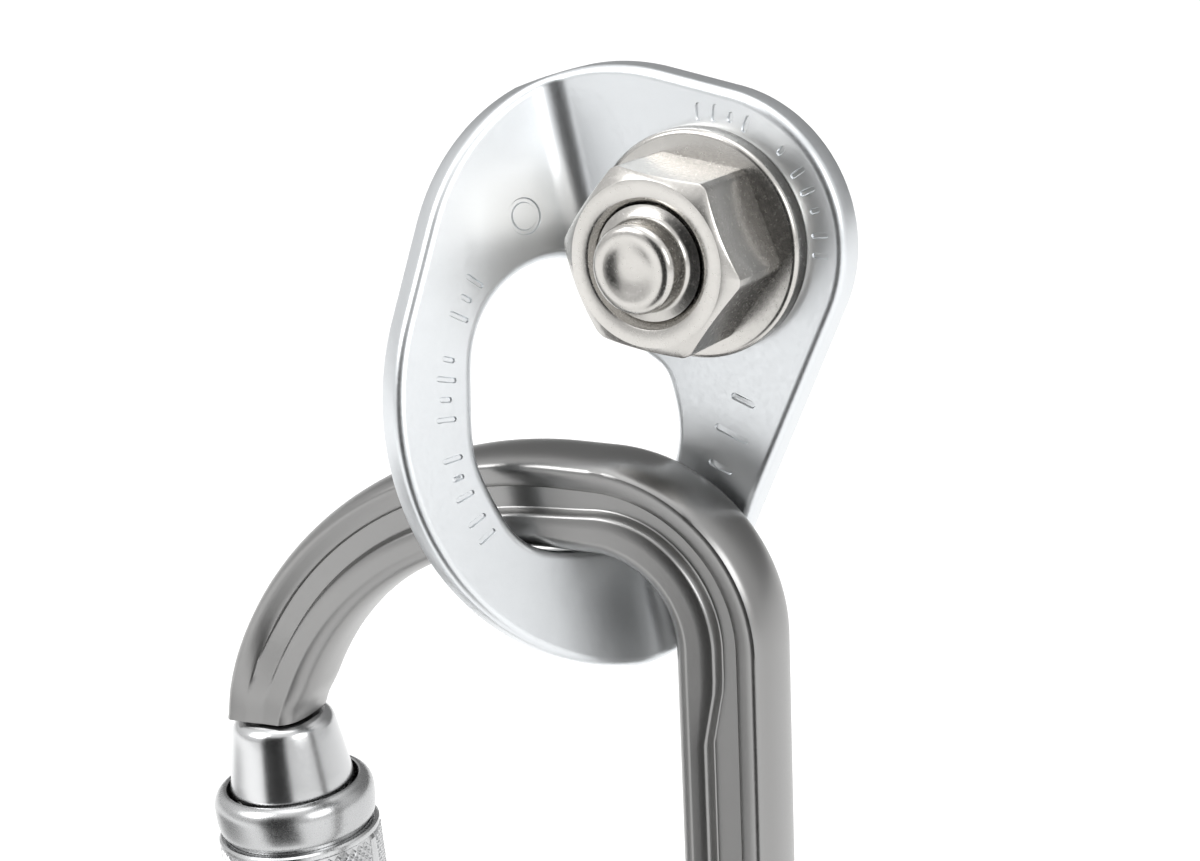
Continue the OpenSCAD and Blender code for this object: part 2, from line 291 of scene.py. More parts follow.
def finish(kind):
    """The named finish, made once."""
    if kind not in FINISHES:
        scene = bpy.context.scene
        plate, bolt = tuple(scene.anchor_plate.steel), tuple(scene.anchor_bolt.steel)
        clip, sleeve = tuple(scene.anchor_frame.grey), tuple(scene.anchor_sleeve.bright)
        table = {
            "plate_steel": dict(colour=plate, rough=0.34, spread=0.04, mottle=90, grain=2600, bump=0.05,
                                shade_mix=0.05),
            "turned_steel": dict(colour=bolt, rough=0.24, spread=0.05, mottle=140, grain=2200, bump=0.08,
                                 shade_mix=0.2),
            "frame_grey": dict(colour=clip, rough=0.31, spread=0.03, mottle=50, grain=3200, bump=0.03,
                               shade_mix=0.05),
            "bright_gate": dict(colour=sleeve, rough=0.22, spread=0.03, mottle=80, grain=2600, bump=0.04,
                                shade_mix=0.06),
            "collar_grey": dict(colour=tuple(c * 0.82 for c in sleeve), rough=0.27, spread=0.03, mottle=80,
                                grain=2600, bump=0.04),
            "knurl_bright": dict(colour=tuple(c * 0.95 for c in sleeve), rough=0.26, spread=0.07, mottle=160,
                                 grain=2400, bump=0.15, shade_mix=0.2),
            "pin_steel": dict(colour=(0.5, 0.5, 0.5), rough=0.3, spread=0.07, grain=2400, bump=0.2),
            "spring_steel": dict(colour=(0.56, 0.56, 0.55), rough=0.22, spread=0.05, grain=2600, bump=0.1),
            "guide_black": dict(colour=(0.035, 0.035, 0.037), rough=0.5, spread=0.08, grain=1500, bump=0.2,
                                metallic=0.0),
        }
        FINISHES[kind] = metal(kind, **table[kind])
    return FINISHES[kind]


# ---- places taken over from the CAD ----

# the plate, as circles (x, z, radius) in its flat pattern
PLATE_LEAN = radians(14.7)
BEND_START = 12.1
BOSS, CROWN, RING, FOOT = (0, 0, 16.0), (-9.6, -7.1, 24.4), (-7.5, -18.6, 29.6), (-7.5, -39.2, 9.0)
EYE = ((-16.5, -15.2, 11.6), (-15.5, -21.5, 12.5), (-17.6, -27.35, 7.7), (-13.0, -27.25, 7.7))
EYE_KEEP = 15.2
BORE_R = 6.05

# the carabiner's own axes, the gate's on its hinge, and the bolt's
CLIP = (Matrix.Translation((0, -10, 0)) @ Matrix.Rotation(radians(5), 4, "Z") @ Matrix.Translation((-7, 0, -42))
        @ Matrix.Rotation(radians(-2.9), 4, "Y"))
HINGE = (-41.4, -71.5)
GATE_LEAN = radians(3.75)
GATE = CLIP @ Matrix.Translation((HINGE[0], 0, HINGE[1])) @ Matrix.Rotation(-GATE_LEAN, 4, "Y")
AXIS = Matrix.Rotation(radians(-90), 4, "X")

# the carabiner's bends along the bar, and the gate
TOP_R, SHOULDER_R, SPINE_LEN, HEEL_R, TOE_R, CREST = 14.2, 42.4, 75.0, 14.0, 18.0, 4.5
GATE_LEN, HEAD_FOOT, BARREL_R = 54.0, 44.6, 5.2


# ---- hanger plate ----

# depth of the stamped marks, width of their sloping sides, and the size of a bar's stroke
STAMP, STAMP_SLOPE, STROKE, FOOT_STROKE = 0.22, 0.12, 0.62, 0.8
# each row of marks: circle's centre, radius, then (degrees round it, length)
BOLT_ROW = (BOSS, 13.35, ((94, 1.9), (86, 1.9), (78, 1.2), (70, 1.9), (50, 1.2), (38, 1.9), (29, 1.9), (20, 1.2),
                          (9, 1.9), (0, 1.9)))
RING_ROW = (RING, 23.9, ((-143, 2.4), (-148, 2.4), (-155, 2.4), (-160, 1.5), (-165, 2.4), (-175, 2.4), (-180, 1.5),
                         (-185, 2.4), (-190, 1.5), (-201, 2.4), (-206, 1.5), (-211, 2.4)))
GRID = 1.5


def tangent(p, q, side):
    """Direction of the outward normal where a straight line touches circles p and q on one side."""
    return atan2(q[1] - p[1], q[0] - p[0]) + side * acos((p[2] - q[2]) / hypot(q[0] - p[0], q[1] - p[1]))


def resample(points, gap):
    """The closed line again, at an even spacing."""
    p = np.array(points, float)
    q = np.vstack([p, p[:1]])
    step = np.linalg.norm(np.diff(q, axis=0), axis=1)
    along = np.concatenate([[0], np.cumsum(step)])
    count = int(along[-1] / gap)
    at = np.linspace(0, along[-1], count, endpoint=False)
    return np.stack([np.interp(at, along, q[:, 0]), np.interp(at, along, q[:, 1])], 1)


def soften(points, times):
    for _ in range(times):
        points = 0.5 * points + 0.25 * (np.roll(points, 1, 0) + np.roll(points, -1, 0))
    return points


def plate_outline():
    down = tangent(BOSS, FOOT, 1) % (2 * pi) - 2 * pi
    up = tangent(BOSS, CROWN, -1) % (2 * pi)
    left = tangent(CROWN, RING, -1) % (2 * pi)
    pts = []
    for c, a0, a1 in ((BOSS, down, up), (CROWN, up, left), (RING, left, 1.5 * pi), (FOOT, 1.5 * pi, down + 2 * pi)):
        for a in np.linspace(a0, a1, 40):
            pts.append((c[0] + c[2] * cos(a), c[1] + c[2] * sin(a)))
    return resample(pts, 0.55)


def eye_outline():
    turn = np.linspace(0, 2 * pi, 180, endpoint=False)
    pts = [(c[0] + c[2] * cos(a), c[1] + c[2] * sin(a)) for c in EYE for a in turn]
    hull = np.array([pts[i] for i in convex_hull_2d([Vector(p) for p in pts])])
    loop = resample(hull, 0.3)
    far = np.linalg.norm(loop, axis=1)
    near = far < EYE_KEEP
    loop[near] *= (EYE_KEEP / far[near])[:, None]
    return resample(soften(resample(loop, 0.4), 14), 0.5)


def inside(points, loop):
    """Which points lie inside the closed line."""
    x, y = points[:, 0], points[:, 1]
    hit = np.zeros(len(points), bool)
    for (x0, y0), (x1, y1) in zip(loop, np.roll(loop, -1, 0)):
        cross = ((y0 > y) != (y1 > y)) & (x < (x1 - x0) * (y - y0) / (y1 - y0 + 1e-12) + x0)
        hit ^= cross
    return hit


def turned_flat(points, angle):
    c, s = cos(angle), sin(angle)
    return np.stack([points[:, 0] * c - points[:, 1] * s, points[:, 0] * s + points[:, 1] * c], 1)


def fold(points, depth, settings):
    """Pattern points and their depth behind the front face, bent into place."""
    t, ri, bend = settings.thickness, settings.bend_radius, settings.bend
    v0 = ri * tan(bend / 2)
    out = []
    back = Matrix.Rotation(-PLATE_LEAN, 4, "Y")
    for (x, z), d in zip(points, depth):
        past = -BEND_START - x
        if past <= 0:
            p = (x, -t + d)
        else:
            a = bend * min(1.0, past / (2 * v0))
            rho = ri + d
            p = (-BEND_START - rho * sin(a), -(t + ri) + rho * cos(a))
            rest = max(0.0, past - 2 * v0)
            p = (p[0] - rest * cos(bend), p[1] - rest * sin(bend))
        out.append(back @ Vector((p[0], p[1], z)))
    return out


def bar_loop(x, z, angle, length, width):
    """A stamped bar's outline: a slot of the given length along the angle."""
    along, ends = 0.5 * (length - width), []
    for sign in (1, -1):
        for a in np.linspace(-0.5 * pi, 0.5 * pi, 5):
            ends.append((sign * (along + 0.5 * width * cos(a)), sign * 0.5 * width * sin(a)))
    c, s = cos(angle), sin(angle)
    return np.array([(x + u * c - v * s, z + u * s + v * c) for u, v in ends])


def round_loop(x, z, r, steps=28):
    return np.array([(x + r * cos(a), z + r * sin(a)) for a in np.linspace(0, 2 * pi, steps, endpoint=False)])


def plate_marks():
    """Plain stamped bars round the bolt and down the ring, a ring-shaped stamp, and three bars beside the foot.

    Each is a list of (outline, depth) from the outside in.
    """
    bars = []
    for centre, r, rows in (BOLT_ROW, RING_ROW):
        for a, length in rows:
            turn = radians(a)
            bars.append((centre[0] + r * cos(turn), centre[1] + r * sin(turn), turn, length, STROKE))
    for k, length in enumerate((3.0, 4.2, 3.0)):
        bars.append((4.9 - 1.25 * k, -16.6 - 3.9 * k, radians(163), length, FOOT_STROKE))
    floor = 2 * STAMP_SLOPE
    marks = [[(bar_loop(*b), 0.0), (bar_loop(*b[:3], b[3] - floor, b[4] - floor), STAMP)] for b in bars]
    x, z = RING[0] + 24 * cos(radians(127)), RING[1] + 24 * sin(radians(127))
    marks.append([(round_loop(x, z, r), deep) for r, deep in ((2.0, 0.0), (1.88, STAMP), (1.52, STAMP), (1.4, 0.0))])
    return marks


def loop_normals(loop, outward):
    t = np.roll(loop, -1, 0) - np.roll(loop, 1, 0)
    t /= np.linalg.norm(t, axis=1)[:, None]
    area = np.sum(loop[:, 0] * np.roll(loop[:, 1], -1) - np.roll(loop[:, 0], -1) * loop[:, 1])
    n = np.stack([t[:, 1], -t[:, 0]], 1) * (1 if area > 0 else -1)
    return n if outward else -n


class ANCHOR_OT_plate(bpy.types.Operator):
    """Build the bent hanger plate with rounded edges"""
    bl_idname = "anchor.plate"
    bl_label = "Hanger Plate"

    def execute(self, context):
        s = context.scene.anchor_plate
        t, r = s.thickness, s.edge
        bore = round_loop(0, 0, BORE_R, 96)
        loops = [(plate_outline(), True, r), (eye_outline(), False, r), (bore, False, 0.35)]
        loops = [(turned_flat(p, -PLATE_LEAN), side, e) for p, side, e in loops]
        verts, faces, rims = [], [], []
        for loop, side, e in loops:
            n = loop_normals(loop, side)
            near = [(e * (1 - sin(a)), e * (1 - cos(a))) for a in (0.5 * pi * k / 5 for k in range(6))]
            near = [(e + 0.3, 0.0), (e + 0.12, 0.0)] + near
            rows = near + [(inset, t - d) for inset, d in reversed(near)]
            rings = [fold(loop - n * inset, [d] * len(loop), s) for inset, d in rows]
            v, f = skin(rings, start=len(verts))
            verts += v
            faces += f
            rims.append(loop - n * (e + 0.3))
        lo, hi = rims[0].min(0), rims[0].max(0)
        xs = np.arange(lo[0], hi[0], GRID)
        level = (xs > -BEND_START + 0.5) | (xs < -BEND_START - 5.3)
        xs = np.concatenate([xs[level], np.linspace(-BEND_START - 4.9, -BEND_START + 0.1, 15)])
        grid = np.array([(x, z) for x in xs for z in np.arange(lo[1], hi[1], GRID)])
        grid = grid[inside(grid, rims[0]) & ~inside(grid, rims[1]) & ~inside(grid, rims[2])]
        stamps = [[(turned_flat(loop, -PLATE_LEAN), deep) for loop, deep in mark] for mark in plate_marks()]
        for front in (True, False):
            loops = [(rim, 0.0) for rim in rims] + [pair for mark in stamps for pair in mark] * front
            edge = np.vstack([loop for loop, _ in loops])
            own = grid[[np.min(np.hypot(*(edge - g).T)) > 0.4 for g in grid]]
            depth = [d for loop, d in loops for _ in loop] + [0.0] * len(own)
            links, at = [], 0
            for loop, _ in loops:
                links += [(at + k, at + (k + 1) % len(loop)) for k in range(len(loop))]
                at += len(loop)
            spots = [Vector(p) for p in np.vstack([edge, own])]
            pts, _, tris, source, *_ = delaunay_2d_cdt(spots, links, [], 1, 1e-5)
            pts = np.array([tuple(p) for p in pts])
            depth = [depth[min(src)] if src else 0.0 for src in source]
            mid = np.array([pts[list(f)].mean(0) for f in tris])
            good = ~inside(mid, rims[1]) & ~inside(mid, rims[2])
            start = len(verts)
            verts += fold(pts, depth if front else [t] * len(pts), s)
            faces += [tuple(start + i for i in f) for f, g in zip(tris, good) if g]
        plate = put("hanger_plate_steel", verts, faces, finish("plate_steel"), 38)
        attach(plate, "hanger")
        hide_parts("hanger_plate")
        return {"FINISHED"}


# ---- bolt, washer and nut ----

# the thread's ends and radius, and the nut: half across flats, wall side, outer face, and where its rims turn flat
THREAD_TOP, THREAD_FOOT, THREAD_R = -15.7, -0.15, 5.95
NUT_FLAT, NUT_BASE, NUT_TOP, NUT_BORE, BASE_RIM, TOP_RIM = 8.985, -6.62, -16.2, 6.02, 8.7, 8.55
NUT_TURN, CORNER_ROUND, NUT_STEPS = radians(55), radians(3.2), 240


class ANCHOR_OT_bolt(bpy.types.Operator):
    """Turn the threaded bolt, the washer and the nut"""
    bl_idname = "anchor.bolt"
    bl_label = "Bolt, Washer and Nut"

    def execute(self, context):
        s = context.scene.anchor_bolt
        steel = finish("turned_steel")
        tip = [(0, -18.75), (0.9, -18.75), (1.7, -18.82), (2.4, -19.0), (3.0, -19.18), (3.6, -19.2), (4.0, -19.12),
               (4.35, -18.9), (4.55, -18.55), (4.6, -18.1), (4.6, -16.4), (4.7, -16.1), (5.1, -15.85)]
        thread = [(THREAD_R, h) for h in np.arange(-15.6, -0.2, s.pitch / 8)]
        shank = [(5.8, -0.1), (5.85, 0.2), (6.0, 0.4), (6.0, 12.1), (5.9, 12.4), (5.3, 12.9), (5.1, 13.0), (0, 13.0)]

        def screw(r, h, a):
            if not THREAD_TOP < h < THREAD_FOOT:
                return r
            phase = (h / s.pitch + a / (2 * pi)) % 1.0
            wave = min(1.0, max(0.0, abs(phase * 2 - 1) * 1.35 - 0.12))
            ends = smoothstep(h, -15.7, -14.6) * (1 - smoothstep(h, -1.6, -0.2))
            return r - s.thread_depth * wave * ends
        stud = lathe("bolt_turned", tip + thread + shank, AXIS, steel, 120, screw, 40)
        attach(stud, "anchor")
        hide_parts("anchor_stud")

        prof = [(6.5, -4.02), (11.6, -4.02), (11.85, -4.1), (12.0, -4.35), (12.0, -5.9)]
        prof += [(12 - 0.6 * (1 - cos(a)), -6.0 - 0.6 * sin(a)) for a in np.linspace(0, pi / 2, 6)]
        prof += [(6.9, -6.6), (6.5, -6.3)]
        ring = lathe("washer_steel", prof, AXIS, steel, 128)
        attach(ring, "washer_body")
        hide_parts("washer")

        nut = self.nut(steel)
        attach(nut, "nut")
        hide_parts("hex_nut")
        return {"FINISHED"}

    def nut(self, steel):
        """The nut, from the bore at the wall round its outside to the bore at the outer face."""
        columns = []
        for k in range(NUT_STEPS):
            a = 2 * pi * k / NUT_STEPS
            off = (a - NUT_TURN + pi / 6) % (pi / 3) - pi / 6
            side = NUT_FLAT / cos(pi / 6 - abs(off)) - 0.28 * max(0.0, 1 - abs(off) / CORNER_ROUND) ** 2
            low = NUT_BASE + max(0.0, side - BASE_RIM) * 0.45
            high = NUT_TOP + max(0.0, side - TOP_RIM) * tan(radians(31))
            column = [(NUT_BORE, NUT_BASE + 0.5), (6.4, NUT_BASE), (BASE_RIM, NUT_BASE), (side, low)]
            column += [(side, low + (high - low) * share) for share in (0.2, 0.5, 0.8)]
            column += [(side, high + 0.16), (side - 0.14, high - 0.02), (TOP_RIM, NUT_TOP + 0.02),
                       (TOP_RIM - 0.25, NUT_TOP), (6.95, NUT_TOP), (6.7, NUT_TOP + 0.1), (NUT_BORE, NUT_TOP + 0.85)]
            columns.append([Vector((r * cos(a), h, r * sin(a))) for r, h in column])
        verts, faces = skin(list(zip(*columns)), close_rows=True)
        return put("hex_nut_steel", verts, faces, steel, 24)


# ---- carabiner frame ----

# lengths along the bar: how far its ends turn square to the gate, how far the ends stay smooth, where the groove
# widens over the crest, where it narrows on the spine (start, length), and how far it stays narrow by the hinge
END_TURN, NOSE_PLAIN, HINGE_PLAIN = 9.0, 1.5, 2.0
CREST_RUN, SPINE_RUN, HINGE_RUN = (52, 68), (4.0, 6.5), 75

def section(groove, wide):
    """The bar's outline as (outward, towards the viewer): two flanges, a groove between them, and a flat inside.

    wide moves the groove's inner wall outwards, and at groove 0 the side is smooth.
    """
    floor = 4.86 - groove
    g = groove / 1.4
    f = -1.55 + 1.25 * wide
    low = 1.0 - g
    front = [(5.5, 0), (5.48, 0.9), (5.4, 1.8), (5.27, 2.6), (5.08, 3.3), (4.86, 3.85), (4.62, 4.25), (4.36, 4.5),
             (4.05, 4.6 + 0.1 * low), (3.7, 4.56 + 0.18 * low), (3.2, 4.4 + 0.38 * low), (2.5, 4.12 + 0.7 * low),
             (2.05, 3.9 + 0.94 * low), (1.9, 3.76 + 1.09 * low), (1.78, floor),
             (1.2, floor), (min(0.9, f + 0.8), floor), (f + 0.62, floor), (f + 0.5, floor + 0.10 * g),
             (f + 0.18, 4.56 + 0.29 * low), (f + 0.02, 4.74 + 0.12 * low), (f - 0.16, 4.84 + 0.03 * low),
             (0.5 * (f - 3.3), 4.92), (-3.12, 4.97), (-3.3, 4.98), (-3.5, 4.93), (-3.95, 4.7), (-4.4, 4.32),
             (-4.8, 3.8), (-5.12, 3.1), (-5.35, 2.2), (-5.46, 1.2), (-5.5, 0)]
    back = [(x, -d) for x, d in reversed(front[1:-1])]
    return front + back


def arc(x, z, r, degs):
    """Stations round a bend: place and outward direction, at each of these degrees."""
    return [(x + r * cos(radians(a)), z + r * sin(radians(a)), cos(radians(a)), sin(radians(a))) for a in degs]


def frame_path():
    """Stations along the bar from the nose to the hinge: place, outward direction, distance run."""
    spots = arc(-CREST, TOP_R - SHOULDER_R, SHOULDER_R, np.linspace(165.1, 90, 64))
    spots += [(x, TOP_R, 0, 1) for x in (-3, -1.5)]
    spots += arc(0, 0, TOP_R, np.linspace(90, 0, 40))
    spots += [(TOP_R, z, 1, 0) for z in np.linspace(-1.5, -SPINE_LEN + 1.5, 49)]
    hx, hz = TOP_R - HEEL_R, -SPINE_LEN
    spots += arc(hx, hz, HEEL_R, np.linspace(0, -90, 32))
    tx, tz = HINGE[0] + TOE_R, -SPINE_LEN - HEEL_R + TOE_R
    spots += [(x, tz - TOE_R, 0, -1) for x in np.linspace(hx - 3, tx + 3, 7)]
    spots += arc(tx, tz, TOE_R, np.linspace(270, 201, 30))
    run, out = 0.0, []
    for k, (x, z, nx, nz) in enumerate(spots):
        if k:
            run += hypot(x - spots[k - 1][0], z - spots[k - 1][1])
        out.append([x, z, nx, nz, run])
    gx, gz = -cos(GATE_LEAN), -sin(GATE_LEAN)
    for st in out:
        for dist in (st[4], run - st[4]):
            w = 1 - smoothstep(dist, 0.0, END_TURN)
            if w > 0:
                nx, nz = st[2] * (1 - w) + gx * w, st[3] * (1 - w) + gz * w
                size = hypot(nx, nz)
                st[2], st[3] = nx / size, nz / size
    return out, run


class ANCHOR_OT_frame(bpy.types.Operator):
    """Sweep the carabiner's I-beam frame, with its nose and hinge tongue"""
    bl_idname = "anchor.frame"
    bl_label = "Carabiner Frame"

    def execute(self, context):
        s = context.scene.anchor_frame
        path, total = frame_path()
        rows = []
        for x, z, nx, nz, run in path:
            ends = smoothstep(run, NOSE_PLAIN, NOSE_PLAIN + s.fade)
            ends *= smoothstep(total - run, HINGE_PLAIN, HINGE_PLAIN + 0.8 * s.fade)
            on_spine = max(0.0, -z) if nx > 0.99 and x > 10 else 0.0
            wide = 0.35 + 0.65 * smoothstep(run, *CREST_RUN)
            wide *= 1 - min(1.0, max(0.0, (on_spine - SPINE_RUN[0]) / SPINE_RUN[1]))
            if run > total - HINGE_RUN:
                wide = 0.0
            size = 1.0 - 0.04 * (1 - smoothstep(run, 0.0, 4.0))
            rows.append([CLIP @ Vector((x + nx * u * size, -d * size, z + nz * u * size))
                         for u, d in section(s.groove * ends, wide)])
        verts, faces = skin(rows)
        width = len(rows[0])
        faces += [tuple(range(width)), tuple(range(len(verts) - width, len(verts)))]
        bar = put("frame_bar", verts, faces, finish("frame_grey"), 26)

        tongue = [(-4.0, -8.0), (4.3, -8.0), (4.3, 1.5)]
        tongue += [(4.3 * cos(a), 4.3 * sin(a)) for a in np.linspace(radians(25), radians(155), 14)]
        tongue += [(-4.3, 1.5)]
        hinge = slab("hinge_tongue", tongue, -2.25, 2.25, GATE, finish("frame_grey"), 0.3)
        bulb = [(2.8 * cos(a), 51 + 2.8 * sin(a)) for a in np.linspace(radians(150), radians(390), 20)]
        nose = [(-2.5, 56), (-2.5, 52.6)] + bulb + [(2.5, 52.6), (2.5, 56)]
        key = slab("nose_key", nose, -2.2, 2.2, GATE, finish("frame_grey"), 0.35)
        piece = join("carabiner_frame_grey", [bar, hinge, key])
        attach(piece, "carabiner")
        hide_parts("carabiner_frame")
        return {"FINISHED"}


# ---- gate and sleeve ----

# the sleeve's radius between ribs, its ribs' place, and the stretch that is knurled
SLEEVE_R, RIB_FROM_R, RIB_TURN, KNURL_SPAN = 9.48, 9.3, radians(8), (10.0, 38.2)


class ANCHOR_OT_gate(bpy.types.Operator):
    """Build the gate's barrel and tapered head with its hinge slot and nose pocket"""
    bl_idname = "anchor.gate"
    bl_label = "Gate"

    def execute(self, context):
        bright = finish("bright_gate")
        prof = [(0, GATE_LEN), (4.4, GATE_LEN)]
        prof += [(4.4 + 1.8 * sin(a), GATE_LEN - 1.8 * (1 - cos(a))) for a in np.linspace(0, 0.45 * pi, 7)[1:]]
        prof += [(6.42, 51.2), (6.8, 49.0), (7.15, 46.9), (7.42, 45.4), (7.45, 45.0), (7.3, 44.75), (7.0, HEAD_FOOT),
                 (BARREL_R, HEAD_FOOT), (BARREL_R, 7.8), (4.7, 7.7), (4.7, 6.4), (BARREL_R, 6.3), (BARREL_R, -0.5),
                 (4.9, -3.4), (3.9, -4.9), (0, -5.2)]
        body = lathe("gate_body_bright", prof, GATE, bright, 96, crease=30)
        hinge_slot = [(-9, -9), (9, -9), (9, 5.5), (-9, 5.5)]
        nose_pocket = [(-12, 47.5), (3.4, 47.5), (3.4, 56), (-12, 56)]
        cuts = [slab("cut", outline, -2.5, 2.5, GATE, bright, 0.01) for outline in (hinge_slot, nose_pocket)]
        for cut in cuts:
            mod = body.modifiers.new("slot", "BOOLEAN")
            mod.operation = "DIFFERENCE"
            mod.solver = "EXACT"
            mod.object = cut
        soft = body.modifiers.new("edges", "BEVEL")
        soft.width = 0.0002
        soft.segments = 2
        soft.limit_method = "ANGLE"
        soft.angle_limit = radians(50)
        bake(body)
        for cut in cuts:
            bpy.data.objects.remove(cut)
        body.data.shade_smooth()
        body.data.set_sharp_from_angle(angle=radians(30))
        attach(body, "gate")
        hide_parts("gate_barrel")
        return {"FINISHED"}


def knurl_tree(mat):
    """Geometry nodes that set one small diamond on every point of a mesh."""
    tree = bpy.data.node_groups.new("knurl", "GeometryNodeTree")
    face = tree.interface
    face.new_socket("Geometry", in_out="INPUT", socket_type="NodeSocketGeometry")
    for label, value in (("Diamond Width", 0.00072), ("Diamond Rise", 0.00034), ("Tip Share", 0.3)):
        socket = face.new_socket(label, in_out="INPUT", socket_type="NodeSocketFloat")
        socket.default_value = value
    face.new_socket("Geometry", in_out="OUTPUT", socket_type="NodeSocketGeometry")
    new, link = tree.nodes.new, tree.links.new
    source, target = new("NodeGroupInput"), new("NodeGroupOutput")
    cone = new("GeometryNodeMeshCone")
    cone.inputs["Vertices"].default_value = 4
    tip = new("ShaderNodeMath")
    tip.operation = "MULTIPLY"
    link(source.outputs["Diamond Width"], tip.inputs[0])
    link(source.outputs["Tip Share"], tip.inputs[1])
    link(tip.outputs[0], cone.inputs["Radius Top"])
    link(source.outputs["Diamond Width"], cone.inputs["Radius Bottom"])
    link(source.outputs["Diamond Rise"], cone.inputs["Depth"])
    turn = new("GeometryNodeInputNamedAttribute")
    turn.data_type = "FLOAT_VECTOR"
    turn.inputs["Name"].default_value = "turn"
    euler = new("FunctionNodeEulerToRotation")
    link(turn.outputs["Attribute"], euler.inputs["Euler"])
    spread = new("GeometryNodeInstanceOnPoints")
    link(source.outputs["Geometry"], spread.inputs["Points"])
    link(cone.outputs["Mesh"], spread.inputs["Instance"])
    link(euler.outputs["Rotation"], spread.inputs["Rotation"])
    real = new("GeometryNodeRealizeInstances")
    link(spread.outputs["Instances"], real.inputs["Geometry"])
    paint = new("GeometryNodeSetMaterial")
    paint.inputs["Material"].default_value = mat
    link(real.outputs["Geometry"], paint.inputs["Geometry"])
    link(paint.outputs["Geometry"], target.inputs["Geometry"])
    return tree


class ANCHOR_OT_sleeve(bpy.types.Operator):
    """Build the knurled locking sleeve and its smooth collar"""
    bl_idname = "anchor.sleeve"
    bl_label = "Locking Sleeve"

    def execute(self, context):
        s = context.scene.anchor_sleeve
        mat = finish("knurl_bright")
        ribs = max(1, s.ribs)

        def ribbed(r, h, a):
            if r < RIB_FROM_R or not 9.6 < h < 38.6:
                return r
            off = abs((a - RIB_TURN + pi / ribs) % (2 * pi / ribs) - pi / ribs) * r
            lift = 1 - smoothstep(off, 0.45, 0.85)
            return r + 0.33 * lift * smoothstep(h, 9.7, 10.4) * (1 - smoothstep(h, 37.7, 38.4))
        prof = [(6.86, 8.4), (9.0, 8.4), (9.45, 8.5), (9.72, 8.8), (9.8, 9.2), (9.78, 9.5), (SLEEVE_R, 9.75)]
        prof += [(SLEEVE_R, h) for h in np.linspace(10.2, 37.9, 15)]
        prof += [(SLEEVE_R, 38.35), (9.6, 38.45), (9.72, 38.6), (9.76, 38.85), (9.7, 39.15), (9.45, 39.35),
                 (9.0, 39.4), (8.85, 39.38), (8.85, 34.8), (6.86, 34.8), (6.86, 28), (8.4, 28), (8.4, 16), (6.86, 16)]
        shell = lathe("sleeve_body", prof, GATE, mat, 288, ribbed, 28)
        piece = join("sleeve_knurled", [shell, self.knurl(context, mat, ribs)])
        piece.data.set_sharp_from_angle(angle=radians(25))
        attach(piece, "sleeve")
        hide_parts("sleeve_shell")

        prof = [(8.0, 45.1), (8.2, 45.18)]
        prof += [(8.1 + 1.55 * sin(a), 43.1 + 2.1 * cos(a)) for a in np.linspace(0.1, 0.5 * pi, 11)]
        prof += [(9.64, 42.4), (9.6, 41.6), (9.52, 40.9), (9.38, 40.3), (9.2, 40.0), (8.95, 39.93), (8.78, 39.93),
                 (8.78, 34.85), (8.0, 34.85)]
        collar = lathe("sleeve_collar_smooth", prof, GATE, finish("collar_grey"), 128)
        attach(collar, "sleeve")
        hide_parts("sleeve_collar")
        return {"FINISHED"}

    def knurl(self, context, mat, ribs):
        """Diamonds between the ribs, in rows that are half a step apart."""
        s = context.scene.anchor_sleeve
        step = 2 * pi / ribs / (s.across + 0.9)
        width = step * SLEEVE_R
        spots, turns = [], []
        basis = GATE.to_3x3()
        up = basis @ Vector((0, 0, 1))
        low, high = KNURL_SPAN
        for row in range(int((high - low) / (width * 0.5))):
            h = low + 0.1 + width * 0.25 + row * width * 0.5
            count = s.across - 1 if row % 2 else s.across
            for rib in range(ribs):
                for k in range(count):
                    a = RIB_TURN + 2 * pi * (rib + 0.5) / ribs + (k - 0.5 * (count - 1)) * step
                    out = basis @ Vector((cos(a), sin(a), 0))
                    spots.append(GATE @ Vector((SLEEVE_R * 0.997 * cos(a), SLEEVE_R * 0.997 * sin(a), h)))
                    turns.append(Matrix((up.cross(out), up, out)).transposed().to_euler())
        seed = bpy.data.meshes.new("knurl_points")
        seed.from_pydata([tuple(p * MM) for p in spots], [], [])
        attr = seed.attributes.new("turn", "FLOAT_VECTOR", "POINT")
        attr.data.foreach_set("vector", np.array([tuple(e) for e in turns], dtype=float).ravel())
        points = bpy.data.objects.new("knurl_points", seed)
        context.scene.collection.objects.link(points)
        mod = points.modifiers.new("knurl", "NODES")
        mod.node_group = knurl_tree(mat)
        sizes = {"Diamond Width": width * 0.48 * MM, "Diamond Rise": s.rise * MM, "Tip Share": 0.32}
        for item in mod.node_group.interface.items_tree:
            if item.item_type == "SOCKET" and item.in_out == "INPUT" and item.name in sizes:
                mod[item.identifier] = sizes[item.name]
        bake(points)
        if not points.data.polygons:
            raise RuntimeError("the knurl made no faces")
        return points


class ANCHOR_OT_small(bpy.types.Operator):
    """Give the small inner pieces their finishes"""
    bl_idname = "anchor.small"
    bl_label = "Small Pieces"

    def execute(self, context):
        looks = {"gate_rivet": "pin_steel", "gate_plunger": "pin_steel", "gate_spring": "spring_steel",
                 "track_pin": "pin_steel", "end_ring": "pin_steel", "sleeve_guide": "guide_black",
                 "sleeve_spring": "spring_steel"}
        for node, look in looks.items():
            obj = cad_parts[node]
            obj.data.materials.clear()
            obj.data.materials.append(finish(look))
        return {"FINISHED"}


# ---- stage ----

# the studio's dark gap (degrees round from the front, half width), which the floor also carries as painted shade, and
# the floor's painted soft shadow beside the anchor (place, reach) in metres
GAP_AZIMUTH, GAP_HALF = 12, 21
GAP_NEAR = (0.12, 0.3)
SHADE_PLACE, SHADE_REACH = (-0.42, -0.15), (0.08, 0.3)
PALE, WHITE, TOP_LIGHT = 0.93, 1.0, 2.2
FLOOR_REACH = 9000.0
CAMERA_PLACE, CAMERA_AIM = (0.10846, -0.20253, 0.05392), (-0.00599, -0.01489, -0.0187)
LAMP_AIM = (0, 0, -0.05)
